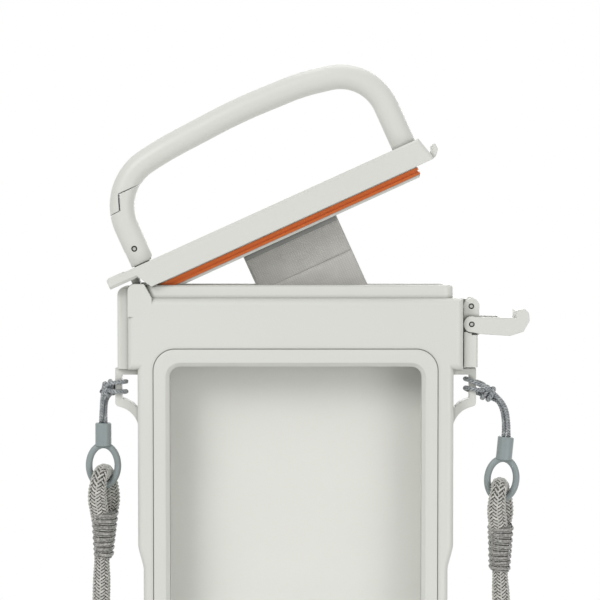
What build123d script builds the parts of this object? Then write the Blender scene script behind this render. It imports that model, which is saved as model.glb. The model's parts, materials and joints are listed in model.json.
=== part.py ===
from build123d import *
import math
import os

# Waterproof phone case: a rigid shell with a clear front window, a hinged lid that plugs the mouth,
# a carrying handle with a sprung gate, an over-centre draw latch and a lanyard on two lugs.
# Millimetres. The case stands on its base at z = 0, the window faces -Y, X runs to the right.
# The lid is drawn shut and then turned about its hinge to the open angle at which it rests.

# General clearances
wall_gap = 0.3            # between pieces that move past each other
pin_gap = 0.05            # radial clearance of a pin in a bore that turns
seat_gap = 0.02           # radial clearance of a pin that is pressed in
pin_chamfer = 0.2
dimple_radius = 0.45
dimple_depth = 0.8

# Shell
body_half_width = 50.5
body_half_depth = 10.0
waist_inset = 1.75        # how far each side steps in to give a grip
waist_top = 124.5
waist_bottom = 34.0
waist_blend = 6.5
base_corner = 13.0
edge_round = 2.2
shoulder_step = 3.0       # how far the top stands out beyond the sides
shoulder_half_width = body_half_width + shoulder_step
shoulder_top = 204.4
shoulder_height = 22.9
base_thickness = 8.0

# Mouth collar on top of the shell
collar_height = 4.1
collar_left = -(shoulder_half_width - 5.3)
collar_right = shoulder_half_width - 3.1
collar_half_depth = body_half_depth - 2.3
mouth_left = collar_left + 3.9
mouth_right = collar_right - 2.9
mouth_half_depth = collar_half_depth - 2.0
neck_bottom = shoulder_top - 15.4

# Pocket that the phone stands in
pocket_half_width = body_half_width - 6.0
pocket_front = -(body_half_depth - 5.4)
pocket_back = body_half_depth - 2.8
pocket_corner = 6.0
cushion_inset = 8.5

# Window
bezel_half_width = body_half_width - 5.0
bezel_top = neck_bottom - 0.7
bezel_bottom = 12.0
bezel_corner = 7.0
bezel_depth = 2.0
bezel_proud = 0.5
window_border = 5.3       # the bezel's face beside the opening
window_half_width = bezel_half_width - window_border
window_top = bezel_top - window_border - 0.4
window_bottom = bezel_bottom + window_border + 0.7
window_corner = 3.4
window_bevel = 1.3
pane_margin = 2.8         # how far the pane reaches under the bezel
pane_thickness = 1.2
seal_width = 1.9
seal_thickness = 0.6

# Lid hinge, near the top left corner
hinge_x = -(shoulder_half_width - 1.84)
hinge_z = shoulder_top + 2.16
hinge_pin_radius = 1.0
hinge_pin_start = -(body_half_depth - 2.0)
hinge_block_right = -(shoulder_half_width - 5.2)
hinge_block_rise = 2.34   # the block's top above the pin
knuckle_half = 3.0
open_angle = 24.4

# Lid, with heights measured from the hinge pin
lid_top = 6.8
lid_skirt_bottom = -1.0
lid_half_depth = body_half_depth
lid_wall = 2.0
lid_roof = 2.4
lid_right_top = shoulder_half_width - hinge_x - 2.56
lid_right_bottom = lid_right_top + 1.8
ear_underside = 3.5
ear_top = 7.1
ear_left = -6.4
ear_end = -1.6
ear_prong = 4.4
prong_notch = 1.6
chamfer_start = 3.4
chamfer_end = 5.9
lip_reach = 2.7
lip_tip = 3.4
lip_thickness = 1.5
lip_half = 6.2

# Plug and gasket under the lid
plug_clear = 0.35
plug_bottom = -4.6
plug_foot = 0.9
gasket_height = 2.3
gasket_depth = 1.6

# Strap from the plug into the mouth
strap_left = 36.0
strap_width = 33.0
strap_thickness = 1.1
strap_front = mouth_half_depth - 1.7
strap_fold = 16.9
strap_end_z = neck_bottom + 5.0
anchor_height = 4.6
anchor_recess = 2.3       # how deep the anchor bar is let into the neck's back wall
anchor_margin = 3.0
clip_height = 1.6

# Carrying handle, route in the lid's frame
handle_radius = 4.0
handle_left = 5.9
handle_right = lid_right_top - 4.6
handle_shoulder_left = 34.1
handle_shoulder_right = 33.8
handle_crown = 39.0
handle_span = handle_right - handle_left
handle_first_bend = (handle_left + 0.2291 * handle_span, 37.4)
handle_middle = handle_left + 0.5223 * handle_span
handle_last_bend = (handle_left + 0.7611 * handle_span, 38.2)
handle_bends = [17.0, 1.194 * handle_span, 1.846 * handle_span, 0.6515 * handle_span, 16.0]
handle_socket = 1.6
gate_pivot_x = 5.5
gate_pivot_z = 12.3
gate_pin_radius = 0.9
gate_arc = 12.75
gate_nose_z = 30.2
gate_step_x = 6.3
gate_step_top_x = 8.5
gate_split = 0.3
gate_heel = 5.9
gate_lift = 0.3
tang_half = 1.0
tang_radius = 2.6
spring_wire = 0.25
spring_turns = 2.0
spring_radius = 1.45

# Draw latch at the right side
latch_x = shoulder_half_width + 2.9
lever_pin_z = shoulder_top - 2.8
link_pin_z = lever_pin_z - 5.7
latch_pin_radius = 0.85
ear_half = 2.0
ear_radius = 2.3
lever_cheek = 1.8
lever_radius = 2.6
lever_back = shoulder_half_width + 0.4
lever_front = shoulder_half_width + 4.9
lever_foot_gap = 0.6
lever_half = 6.2
link_cheek_radius = 2.6
link_arm_top = 2.4
link_arm_bottom = -3.1
hook_gap = 0.15           # hook above the lid's lip when both are shut
hook_length = 3.0
hook_rise = 5.0

# Lanyard lugs
lug_outer = shoulder_half_width + 4.6
lug_bar = 2.1
lug_half_depth = 2.6
lug_window_top = shoulder_top - shoulder_height - 2.0
lug_window_low_out = lug_window_top - 7.7
lug_window_low_in = lug_window_top - 11.9
lug_foot_out = lug_window_low_out - 2.3
lug_arm_drop = 2.0
lug_crook = 8.0           # radius under the arm, where it meets the side
lug_root = lug_foot_out - 12.0
lug_sill_x = 2.6
lug_sill_drop = 1.1

# Hinge cover strip on the left side
cover_outer = -(shoulder_half_width + 3.7)
cover_half_depth = 5.2
cover_drop = 0.9

# Lanyard hardware and cords
cord_diameter = 1.3
cord_spread = 0.8
rope_diameter = 5.0
eye_barrel_radius = 2.6
eye_barrel_length = 7.4
eye_centre_drop = 13.8
eye_half_width = 4.65
eye_half_height = 6.6
eye_wire_radius = 1.1
left_eye_x = -(lug_outer + 4.1)
left_eye_z = lug_window_top - 15.8
right_eye_x = lug_outer + 9.95
right_eye_z = lug_window_top - 20.3
right_eye_tilt = 5.5
whip_half_width = 3.6
whip_start = 8.4
rope_wrap = eye_wire_radius + rope_diameter / 2 + 0.55
rope_side = rope_diameter / 2 + 0.1
rope_straight = 4.8
rope_out = lug_outer + 6.5
rope_waist = 88.0
whip_drop = 28.6
whip_length = 14.6
whip_turns = 9
whip_groove = 0.35
hank_half_length = 39.0
hank_middle = 44.0
hank_strands_wide = 4
hank_strands_high = 3


def box(x0, x1, y0, y1, z0, z1):
    # A block between two corners
    return Pos((x0 + x1) / 2, (y0 + y1) / 2, (z0 + z1) / 2) * Box(x1 - x0, y1 - y0, z1 - z0)


def rod_y(x, z, radius, y0, y1):
    # A round bar that runs front to back
    return Pos(x, (y0 + y1) / 2, z) * Rot(90, 0, 0) * Cylinder(radius, y1 - y0)


def slab(face, y0, y1):
    # A flat outline drawn in x and z, thickened from y0 to y1
    return extrude(Pos(0, y0, 0) * face, y1 - y0, dir=(0, 1, 0))


def outline(points):
    # A face in the x-z plane from a closed row of corners
    return make_face(Polyline(*[(x, 0, z) for x, z in points], close=True))


def rounded_window(half, z0, z1, corner, y0, y1):
    # An upright rounded rectangle, thickened front to back
    shape = box(-half, half, y0, y1, z0, z1)
    return fillet(shape.edges().filter_by(Axis.Y), corner)


def lid_x(u):
    return hinge_x + u


def lid_z(v):
    return hinge_z + v


def lid_pose(shape):
    # Turns a piece that was drawn on the shut lid to where the lid rests
    return shape.rotate(Axis((hinge_x, 0, hinge_z), (0, 1, 0)), -open_angle)


def body_outline():
    # Front outline of the shell: waist, shoulders and square base with round corners
    half = body_half_width
    waist = half - waist_inset
    ledge = shoulder_top - shoulder_height
    right = [
        (half, 0), (half, waist_bottom - waist_blend), (waist, waist_bottom), (waist, waist_top - waist_blend),
        (half, waist_top), (half, ledge), (shoulder_half_width, ledge), (shoulder_half_width, shoulder_top),
    ]
    left = [(-x, z) for x, z in reversed(right)]
    return outline(right + left)


def shell_hull():
    hull = slab(body_outline(), -body_half_depth, body_half_depth)
    base = hull.edges().filter_by(Axis.Y).filter_by(lambda e: e.center().Z < 1)
    hull = fillet(base, base_corner)
    bends = hull.edges().filter_by(Axis.Y).filter_by(
        lambda e: waist_bottom - waist_blend - 1 < e.center().Z < waist_top + 1)
    hull = fillet(bends, 8)
    rims = hull.edges().group_by(Axis.Y)
    return fillet(rims[0] + rims[-1], edge_round)


def shell_lug(side):
    # An open bracket beside the shell: ledge, upright bar and an arm that curves back to the side
    ledge = shoulder_top - shoulder_height
    inner = body_half_width - 1.5
    bar = lug_outer - lug_bar
    window_side = body_half_width + 0.1
    foot_in = lug_foot_out - lug_arm_drop
    outer_line = [
        (inner, ledge), (lug_outer, ledge), (lug_outer, lug_foot_out), (body_half_width, foot_in),
        (body_half_width, lug_root), (inner, lug_root),
    ]
    solid = slab(outline([(side * x, z) for x, z in outer_line]), -lug_half_depth, lug_half_depth)
    corners = solid.edges().filter_by(Axis.Y)
    crook = corners.sort_by_distance((side * body_half_width, 0, foot_in))[0]
    solid = fillet(crook, lug_crook)
    toe = solid.edges().filter_by(Axis.Y).sort_by_distance((side * lug_outer, 0, lug_foot_out))[0]
    solid = fillet(toe, 1.3)
    frame = [
        (side * window_side, 0, lug_window_low_in), (side * window_side, 0, lug_window_top),
        (side * bar, 0, lug_window_top), (side * bar, 0, lug_window_low_out),
    ]
    rest = (side * (window_side + lug_sill_x), 0, lug_window_low_out - lug_sill_drop)
    sill = ThreePointArc(frame[-1], rest, frame[0])
    hole = slab(make_face([*Polyline(*frame).edges(), sill]), -lug_half_depth - 1, lug_half_depth + 1)
    hole = fillet(hole.edges().filter_by(Axis.Y), 0.5)
    return solid - hole


def hinge_block():
    # The raised block at the top left corner that carries the hinge pin between two cheeks
    left = -shoulder_half_width
    top = hinge_z + hinge_block_rise
    profile = outline([
        (left, shoulder_top - 6), (left, top), (hinge_block_right, top),
        (collar_left + 2.4, shoulder_top), (collar_left + 2.4, shoulder_top - 6),
    ])
    block = slab(profile, -body_half_depth, body_half_depth)
    corners = block.edges().filter_by(Axis.Y).filter_by(lambda e: e.center().Z > top - 0.1)
    block = fillet(corners.sort_by(Axis.X)[0], hinge_block_rise - 0.1)
    return block


def hinge_slot():
    # Room for the lid's knuckle, and the bore for the pin, open at the back
    slot = box(
        -shoulder_half_width - 4, hinge_block_right - 0.4, -knuckle_half - wall_gap, knuckle_half + wall_gap,
        hinge_z - 3.3, hinge_z + 6)
    bore = rod_y(hinge_x, hinge_z, hinge_pin_radius + seat_gap, hinge_pin_start, body_half_depth + 1)
    return slot + bore


def latch_ear():
    # One ear in the middle of the right side, for the lever's pin
    wall = shoulder_half_width - 1
    ear = box(wall, latch_x, -ear_half, ear_half, lever_pin_z - ear_radius, lever_pin_z + ear_radius)
    ear += rod_y(latch_x, lever_pin_z, ear_radius, -ear_half, ear_half)
    return ear


def case_shell():
    collar = box(
        collar_left, collar_right, -collar_half_depth, collar_half_depth,
        shoulder_top - 2, shoulder_top + collar_height)
    collar = fillet(collar.edges().filter_by(Axis.Z), 3.2)
    collar = chamfer(collar.edges().group_by(Axis.Z)[-1], 0.5)
    shell = shell_hull() + collar + hinge_block() + shell_lug(1) + shell_lug(-1) + latch_ear()
    pocket = box(-pocket_half_width, pocket_half_width, pocket_front, pocket_back, base_thickness, neck_bottom)
    pocket = fillet(pocket.edges().filter_by(Axis.Y), pocket_corner)
    neck = box(
        mouth_left, mouth_right, -mouth_half_depth, mouth_half_depth,
        neck_bottom - pocket_corner - 1, shoulder_top + collar_height + 1)
    neck = fillet(neck.edges().filter_by(Axis.Z), 2.4)
    front = -body_half_depth
    rebate = rounded_window(
        bezel_half_width, bezel_bottom, bezel_top, bezel_corner, front - 1, front + bezel_depth)
    pane_half = window_half_width + pane_margin
    pane_seat = rounded_window(
        pane_half, window_bottom - pane_margin, window_top + pane_margin, window_corner + pane_margin,
        front, front + bezel_depth + pane_thickness + seal_thickness)
    opening = rounded_window(window_half_width, window_bottom, window_top, window_corner, front, pocket_front + 1)
    shell = shell - pocket - neck - rebate - pane_seat - opening
    shell = shell - hinge_slot()
    shell = shell - rod_y(latch_x, lever_pin_z, latch_pin_radius + seat_gap, -ear_half - 1, ear_half + 1)
    return shell - anchor_seat()


def anchor_span():
    # Ends of the bar that holds the strap's lower end
    tilt = math.radians(open_angle)
    centre_u = strap_left + strap_width / 2
    start = lid_x(centre_u * math.cos(tilt) - plug_bottom * math.sin(tilt))
    start_z = lid_z(centre_u * math.sin(tilt) + plug_bottom * math.cos(tilt))
    drop = (start_z - strap_end_z) / math.cos(tilt)
    middle = start + drop * math.sin(tilt)
    half = strap_width / 2 / math.cos(tilt)
    return middle - half - anchor_margin, middle + half + anchor_margin


def anchor_screws():
    x0, x1 = anchor_span()
    inset = anchor_margin / 2
    return [(x0 + inset, strap_end_z), (x1 - inset, strap_end_z)]


def anchor_seat():
    # The recess for the anchor bar in the neck's back wall, and its two screw holes
    x0, x1 = anchor_span()
    half = anchor_height / 2
    seat = box(x0, x1, mouth_half_depth - 1, mouth_half_depth + anchor_recess, strap_end_z - half, strap_end_z + half)
    seat = fillet(seat.edges().filter_by(Axis.Y), 1.2)
    back = mouth_half_depth + anchor_recess
    return seat + [rod_y(x, z, 0.55, back - 1, back + 1.4) for x, z in anchor_screws()]


def strap_anchor():
    # The bar at the back of the neck, with a screw at each end
    x0, x1 = anchor_span()
    half = anchor_height / 2
    y0 = strap_front + strap_thickness
    back = mouth_half_depth + anchor_recess
    bar = box(x0, x1, y0, back, strap_end_z - half, strap_end_z + half)
    bar = fillet(bar.edges().filter_by(Axis.Y), 1.2)
    return bar - (Part() + [rod_y(x, z, 0.6, y0 - 1, back + 1) for x, z in anchor_screws()])


def anchor_screw_pair():
    screws = []
    y0 = strap_front + strap_thickness
    for x, z in anchor_screws():
        head = rod_y(x, z, 1.1, y0 - 0.7, y0)
        shank = rod_y(x, z, 0.53, y0, mouth_half_depth + anchor_recess + 1.3)
        screws.append(head + shank - rod_y(x, z, 0.45, y0 - 1, y0 - 0.3))
    return Part() + screws


def window_bezel():
    # The frame bonded into the front, its inner edge sloped down to the pane
    front = -body_half_depth
    ring = rounded_window(
        bezel_half_width - 0.15, bezel_bottom + 0.15, bezel_top - 0.15, bezel_corner - 0.15,
        front - bezel_proud, front + bezel_depth)
    ring = fillet(ring.faces().sort_by(Axis.Y)[0].outer_wire().edges(), 0.45)
    ring = ring - rounded_window(
        window_half_width, window_bottom, window_top, window_corner, front - 2, front + bezel_depth + 1)
    return chamfer(ring.faces().sort_by(Axis.Y)[0].inner_wires()[0].edges(), window_bevel)


def window_pane():
    back = -body_half_depth + bezel_depth
    half = window_half_width + pane_margin - 0.15
    margin = pane_margin - 0.15
    return rounded_window(
        half, window_bottom - margin, window_top + margin, window_corner + margin, back, back + pane_thickness)


def window_seal():
    # A thin gasket behind the pane's rim
    front = -body_half_depth + bezel_depth + pane_thickness
    margin = pane_margin - 0.15
    outer = rounded_window(
        window_half_width + margin, window_bottom - margin, window_top + margin, window_corner + margin,
        front, front + seal_thickness)
    inner_margin = margin - seal_width
    inner = rounded_window(
        window_half_width + inner_margin, window_bottom - inner_margin, window_top + inner_margin,
        window_corner + inner_margin, front - 1, front + seal_thickness + 1)
    return outer - inner


def base_cushion():
    # A soft pad on the pocket's floor that the phone stands on, with ribs across it
    half = pocket_half_width - cushion_inset
    pad = box(-half, half, pocket_front + 0.3, pocket_back - 0.3, base_thickness, base_thickness + 1.6)
    pad = fillet(pad.edges().filter_by(Axis.Z), 2.5)
    ribs = [
        Pos(half * (i - 4) / 4.5, (pocket_front + pocket_back) / 2, base_thickness + 1.6)
        * Box(1.6, pocket_back - pocket_front - 2.4, 1.2) for i in range(9)]
    return pad + ribs


def hinge_cover():
    # The narrow strip on the left side, below the lid's ear, slotted at its top for the knuckle
    ledge = shoulder_top - shoulder_height
    top = hinge_z + hinge_block_rise - cover_drop
    strip = box(cover_outer, -shoulder_half_width, -cover_half_depth, cover_half_depth, ledge, top)
    shoulder = strip.edges().filter_by(Axis.Y).filter_by(lambda e: e.center().Z > top - 0.1)
    strip = fillet(shoulder.sort_by(Axis.X)[0], 2.9)
    strip = fillet(strip.edges().filter_by(Axis.Z).filter_by(lambda e: e.center().X < cover_outer + 0.1), 1.0)
    slot = box(
        cover_outer - 1, -shoulder_half_width + 1, -knuckle_half - wall_gap, knuckle_half + wall_gap,
        hinge_z - 3.3, top + 1)
    return strip - slot


def hinge_pin():
    pin = rod_y(hinge_x, hinge_z, hinge_pin_radius, hinge_pin_start, body_half_depth - 0.2)
    return chamfer(pin.edges().filter_by(GeomType.CIRCLE), 0.2)


def lid_outline():
    # Side view of the shut lid: ear over the hinge, flat top, sloped right end and straight skirt
    points = [
        (ear_left, ear_underside), (ear_left, ear_top - 0.5), (ear_left + 0.8, ear_top), (ear_end, ear_top),
        (ear_end + 0.4, lid_top), (lid_right_top, lid_top), (lid_right_bottom, 0.2),
        (lid_right_bottom, lid_skirt_bottom), (chamfer_end, lid_skirt_bottom), (chamfer_start, ear_underside),
    ]
    return outline([(lid_x(u), lid_z(v)) for u, v in points])


def lid_lip():
    # The upturned lip at the right end that the latch's hook pulls on
    foot = lid_right_bottom
    points = [
        (foot - 0.5, lid_skirt_bottom), (foot + 1.2, lid_skirt_bottom + 0.4), (foot + lip_reach, 1.2),
        (foot + lip_reach, lip_tip - 0.4), (foot + lip_reach - 0.5, lip_tip),
        (foot + lip_reach - lip_thickness + 0.3, lip_tip - 0.6), (foot + lip_reach - lip_thickness, 1.8),
        (foot - 0.5, 0.6),
    ]
    return slab(outline([(lid_x(u), lid_z(v)) for u, v in points]), -lip_half, lip_half)


def lid_cap():
    depth = lid_half_depth
    cap = slab(lid_outline(), -depth, depth)
    rims = cap.edges().group_by(Axis.Y)
    top_rims = (rims[0] + rims[-1]).filter_by(
        lambda e: e.center().Z > lid_z(lid_top / 2) and e.center().X > lid_x(ear_left) + 0.1)
    cap = chamfer(top_rims, 0.8)
    pocket = box(
        collar_left - wall_gap, collar_right + wall_gap, -collar_half_depth - wall_gap,
        collar_half_depth + wall_gap, lid_z(lid_skirt_bottom) - 1, lid_z(lid_top - lid_roof))
    cap = cap - pocket
    notch = box(
        lid_x(ear_left) - 1, lid_x(prong_notch), ear_prong - depth, depth - ear_prong,
        lid_z(ear_underside) - 1, lid_z(ear_top) + 1)
    cap = cap - notch
    knuckle = rod_y(hinge_x, hinge_z, hinge_block_rise - 0.04, -knuckle_half, knuckle_half)
    arm = box(
        lid_x(0.2), lid_x(2.6), -knuckle_half, knuckle_half, hinge_z, lid_z(ear_underside + 2))
    cap = cap + knuckle + arm + lid_lip()
    sweep = rod_y(lid_x(gate_pivot_x), lid_z(gate_pivot_z), gate_heel + wall_gap, -4.6, 4.6)
    cap = cap - sweep
    tang = box(
        lid_x(gate_pivot_x - tang_radius), lid_x(gate_pivot_x + tang_radius), -tang_half, tang_half,
        lid_z(lid_top - 1), lid_z(gate_pivot_z))
    tang += rod_y(lid_x(gate_pivot_x), lid_z(gate_pivot_z), tang_radius, -tang_half, tang_half)
    cap = cap + tang
    cap = cap - rod_y(hinge_x, hinge_z, hinge_pin_radius + pin_gap, -knuckle_half - 1, knuckle_half + 1)
    cap = cap - rod_y(lid_x(gate_pivot_x), lid_z(gate_pivot_z), gate_pin_radius + seat_gap, -3, 3)
    socket = Pos(lid_x(handle_right), 0, lid_z(lid_top - handle_socket / 2)) * Cylinder(
        handle_radius + seat_gap, handle_socket)
    return cap - socket


def plug_block(grow, v0, v1):
    # The plug's outline in plan, grown or shrunk, between two heights
    block = box(
        mouth_left + plug_clear - grow, mouth_right - plug_clear + grow,
        plug_clear - mouth_half_depth - grow, mouth_half_depth - plug_clear + grow, lid_z(v0), lid_z(v1))
    return fillet(block.edges().filter_by(Axis.Z), 2.0 + grow)


def gasket_span():
    # Lower and upper height of the gasket's groove
    low = plug_bottom + plug_foot
    return low, low + gasket_height


def lid_plug():
    low, high = gasket_span()
    plug = plug_block(0, plug_bottom, lid_top - lid_roof)
    groove = plug_block(1, low, high) - plug_block(-gasket_depth, low - 1, high + 1)
    plug = plug - groove
    return chamfer(plug.edges().group_by(Axis.Z)[0], 0.4)


def lid_gasket():
    # A soft ring round the plug with two sealing ridges
    low, high = gasket_span()
    ring = plug_block(0.18, low, high) - plug_block(-gasket_depth, low - 1, high + 1)
    middle = (low + high) / 2
    valley = plug_block(1, middle - 0.3, middle + 0.3) - plug_block(-0.25, low - 1, high + 1)
    return ring - valley


def strap_layer(v_top, y0, y1):
    # One layer of the strap, square to the lid at its top and cut level at its foot
    layer = box(
        lid_x(strap_left), lid_x(strap_left + strap_width), y0, y1, lid_z(-lid_right_top / 2), lid_z(v_top))
    floor = box(
        -lid_right_top, lid_right_top, y0 - 1, y1 + 1, window_bottom, strap_end_z - anchor_height / 2)
    return lid_pose(layer) - floor


def pull_strap():
    # A flat woven strap whose spare length is folded back over its front
    back = strap_layer(plug_bottom, strap_front, strap_front + strap_thickness)
    fold = strap_layer(-strap_fold, strap_front - strap_thickness, strap_front)
    return back + fold


def strap_clip():
    # The clamp under the plug that grips the strap's upper end
    clip = box(
        lid_x(strap_left) + 0.4, lid_x(strap_left + strap_width) - 0.4, strap_front - 0.9,
        mouth_half_depth - plug_clear, lid_z(plug_bottom - clip_height), lid_z(plug_bottom))
    slot = box(
        lid_x(strap_left) - 1, lid_x(strap_left + strap_width) + 1, strap_front,
        strap_front + strap_thickness, lid_z(plug_bottom - clip_height) - 1, lid_z(plug_bottom) + 1)
    return clip - slot


def handle_path():
    # The bent tube's centre line, from the gate's foot round to the socket at the right
    points = [
        (handle_left, lid_top + gate_lift), (handle_left, handle_shoulder_left), handle_first_bend,
        (handle_middle, handle_crown), handle_last_bend, (handle_right, handle_shoulder_right),
        (handle_right, lid_top - handle_socket),
    ]
    route = [(lid_x(u), 0, lid_z(v)) for u, v in points]
    return FilletPolyline(*route, radius=handle_bends)


def handle_tube():
    path = handle_path()
    return sweep(Plane(path @ 0, z_dir=path % 0) * Circle(handle_radius), path=path)


def gate_mask(grow):
    # The part of the bent tube that belongs to the gate; its stepped end hooks behind the handle's
    depth = handle_radius + 1
    shoulder = rod_y(lid_x(gate_pivot_x), lid_z(gate_pivot_z), gate_arc + grow, -depth, depth)
    shoulder = shoulder & box(
        lid_x(-4), lid_x(gate_step_x + 3), -depth, depth, lid_z(0), lid_z(gate_nose_z))
    side = 1.6 * grow
    points = [
        (gate_step_x - side, gate_pivot_z), (gate_step_x - side, gate_pivot_z + gate_arc - 0.4),
        (gate_step_top_x - side, gate_nose_z + grow), (20, gate_nose_z + grow), (20, 0), (gate_step_x - side, 0),
    ]
    nose = slab(outline([(lid_x(u), lid_z(v)) for u, v in points]), -depth, depth)
    return shoulder + nose


def handle():
    return handle_tube() - gate_mask(gate_split)


def handle_gate():
    # The sprung gate: the tube's left leg, slotted at its foot over the lid's tang
    x, z = lid_x(gate_pivot_x), lid_z(gate_pivot_z)
    gate = handle_tube() & gate_mask(0)
    heel = box(x, x + 8, -6, 6, z - 8, z) - rod_y(x, z, gate_heel, -7, 7)
    slot = box(x - 8, x + 8, -tang_half - wall_gap, tang_half + 1.8, z - 8, z)
    slot += rod_y(x, z, tang_radius + 0.4, -tang_half - wall_gap, tang_half + 1.8)
    return gate - heel - slot - rod_y(x, z, gate_pin_radius + pin_gap, -6, 6)


def gate_pin():
    x, z = lid_x(gate_pivot_x), lid_z(gate_pivot_z)
    pin = rod_y(x, z, gate_pin_radius, -handle_radius + 0.1, handle_radius - 0.1)
    pin = chamfer(pin.edges().filter_by(GeomType.CIRCLE), pin_chamfer)
    dimple = rod_y(x, z, dimple_radius, -handle_radius, -handle_radius + dimple_depth)
    return pin - dimple


def gate_spring():
    # A small torsion spring round the gate's pin, beside the tang
    x, z = lid_x(gate_pivot_x), lid_z(gate_pivot_z)
    pitch = 2 * spring_wire + 0.04
    start = tang_half + spring_wire + 0.06
    coil = Helix(pitch, pitch * spring_turns, spring_radius)
    wire = sweep(Plane(coil @ 0, z_dir=coil % 0) * Circle(spring_wire), path=coil)
    return Pos(x, start, z) * Rot(-90, 0, 0) * wire


def latch_lever():
    # The lever: two cheeks on the body's ear, and a broad handle part with a hollow back
    foot = shoulder_top - shoulder_height + lever_foot_gap
    cheek_in = ear_half + wall_gap
    cheek_out = cheek_in + lever_cheek
    handle_high = link_pin_z - 2.4
    grip = box(lever_back, lever_front, -lever_half, lever_half, foot, handle_high)
    grip = fillet(grip.edges().filter_by(Axis.Z).filter_by(lambda e: e.center().X > latch_x), 1.1)
    hollow = box(lever_back - 1, lever_front - 1.8, -lever_half + 1.5, lever_half - 1.5, foot + 1.4, link_pin_z - 5)
    lever = grip - hollow
    cheek = box(
        latch_x - lever_radius + 0.1, latch_x + lever_radius - 0.1, -cheek_out, cheek_out,
        handle_high - 1, lever_pin_z)
    cheek += rod_y(latch_x, lever_pin_z, lever_radius, -cheek_out, cheek_out)
    channel = box(
        latch_x - 6, latch_x + 6, -cheek_in, cheek_in, link_pin_z - 2.1, lever_pin_z + 6)
    clear = link_cheek_radius + wall_gap
    for side in (-1, 1):
        y0, y1 = sorted((side * cheek_out, side * (lever_half + 1)))
        lever = lever - rod_y(latch_x, link_pin_z, clear, y0, y1)
    shelf = box(
        latch_x, latch_x + 8, -lever_half - 1, lever_half + 1, link_pin_z + link_arm_bottom - wall_gap,
        link_pin_z) - box(latch_x - 9, latch_x + 9, -cheek_out, cheek_out, foot, lever_pin_z)
    lever = lever - shelf + (cheek - channel)
    lever = lever - rod_y(latch_x, lever_pin_z, latch_pin_radius + pin_gap, -8, 8)
    return lever - rod_y(latch_x, link_pin_z, latch_pin_radius + seat_gap, -8, 8)


def latch_pin(z, half):
    pin = rod_y(latch_x, z, latch_pin_radius, -half, half)
    pin = chamfer(pin.edges().filter_by(GeomType.CIRCLE), pin_chamfer)
    dimple = rod_y(latch_x, z, dimple_radius, -half - 0.1, -half + dimple_depth)
    return pin - dimple


def lever_pin():
    return latch_pin(lever_pin_z, ear_half + wall_gap + lever_cheek - 0.1)


def link_pin():
    return latch_pin(link_pin_z, lever_half - 0.1)


def latch_link():
    # The hook link: two cheeks outside the lever's, joined ahead of them, ending in a hook
    seat = lid_z(lip_tip) + hook_gap - link_pin_z
    x, z = latch_x, link_pin_z
    points = [
        (0, link_arm_top), (seat, 2.0), (seat, hook_rise - 0.7), (seat + hook_length - 0.2, hook_rise),
        (seat + hook_length + 1.1, hook_rise - 1.5), (seat + hook_length + 1.3, 1.2),
        (seat + hook_length - 0.7, -2.4), (seat - 2, -3.7), (2.6, link_arm_bottom), (0, -link_cheek_radius + 0.1),
    ]
    arm = slab(outline([(x + dx, z + dz) for dx, dz in points]), -lever_half, lever_half)
    tip = arm.edges().filter_by(Axis.Y).filter_by(lambda e: e.center().X > x + seat + 1)
    arm = fillet(tip, 0.9)
    link = arm + rod_y(x, z, link_cheek_radius, -lever_half, lever_half)
    cheek_in = ear_half + wall_gap + lever_cheek + wall_gap
    reach = lever_pin_z - link_pin_z + lever_radius + 0.6
    gap = box(x - 5, x + reach, -cheek_in, cheek_in, z - 6, z + 8)
    link = link - gap
    return link - rod_y(x, z, latch_pin_radius + pin_gap, -8, 8)


def eye_pose(shape, side):
    # Places a piece drawn below a barrel top at the origin
    if side < 0:
        return Pos(left_eye_x, 0, left_eye_z) * shape
    return Pos(right_eye_x, 0, right_eye_z) * Rot(0, right_eye_tilt, 0) * shape


def eye_bar(side):
    # Centre of the ring's lowest bar, which the rope passes over
    drop = eye_centre_drop + eye_half_height
    if side < 0:
        return left_eye_x, left_eye_z - drop
    tilt = math.radians(right_eye_tilt)
    return right_eye_x - drop * math.sin(tilt), right_eye_z - drop * math.cos(tilt)


def lanyard_eye(side):
    # A moulded barrel with a ring below it
    barrel = Pos(0, 0, -eye_barrel_length / 2) * Cylinder(eye_barrel_radius, eye_barrel_length)
    barrel = fillet(barrel.edges().group_by(Axis.Z)[-1], 0.4)
    ring_path = Pos(0, 0, -eye_centre_drop) * Rot(90, 0, 0) * Ellipse(eye_half_width, eye_half_height)
    loop = ring_path.wire()
    ring = sweep(Plane(loop @ 0, z_dir=loop % 0) * Circle(eye_wire_radius), path=loop)
    return eye_pose(barrel + ring, side)


def cord_points(side):
    # Thin cord: up from the barrel, round the lug's bar and back down beside itself
    bar_out = lug_outer + 2.2
    bar_in = lug_outer - lug_bar - 1.35
    front = lug_half_depth + 1.35
    if side < 0:
        x, z = abs(left_eye_x), left_eye_z
        return [
            (side * (x + cord_spread), 0, z), (side * (x + 0.9), -0.5, z + 7.0),
            (side * (x - 0.4), -3.5, z + 11.4), (side * bar_in, -front, z + 12.2),
            (side * bar_in, front, z + 11.0), (side * bar_out, front, z + 10.0),
            (side * (x - cord_spread + 0.1), 1.2, z + 5.8), (side * (x - cord_spread), 0, z),
        ]
    x, z = right_eye_x, right_eye_z
    lean = math.sin(math.radians(right_eye_tilt))
    return [
        (x + cord_spread, 0, z - cord_spread * lean), (x + 0.7, -0.6, z + 8.0),
        (x - 2.6, -2.4, z + 14.2), (bar_out, -front, z + 17.4), (bar_in, -front, z + 18.4),
        (bar_in, front, z + 16.8), (bar_out, front, z + 15.0), (x - 3.8, 1.8, z + 11.4),
        (x - cord_spread - 0.5, 0.6, z + 6.4), (x - cord_spread, 0, z + cord_spread * lean),
    ]


def rope_foot(z):
    # Height at which the rope's two strands come side by side under its ring
    return z - whip_drop + 6.5


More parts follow.
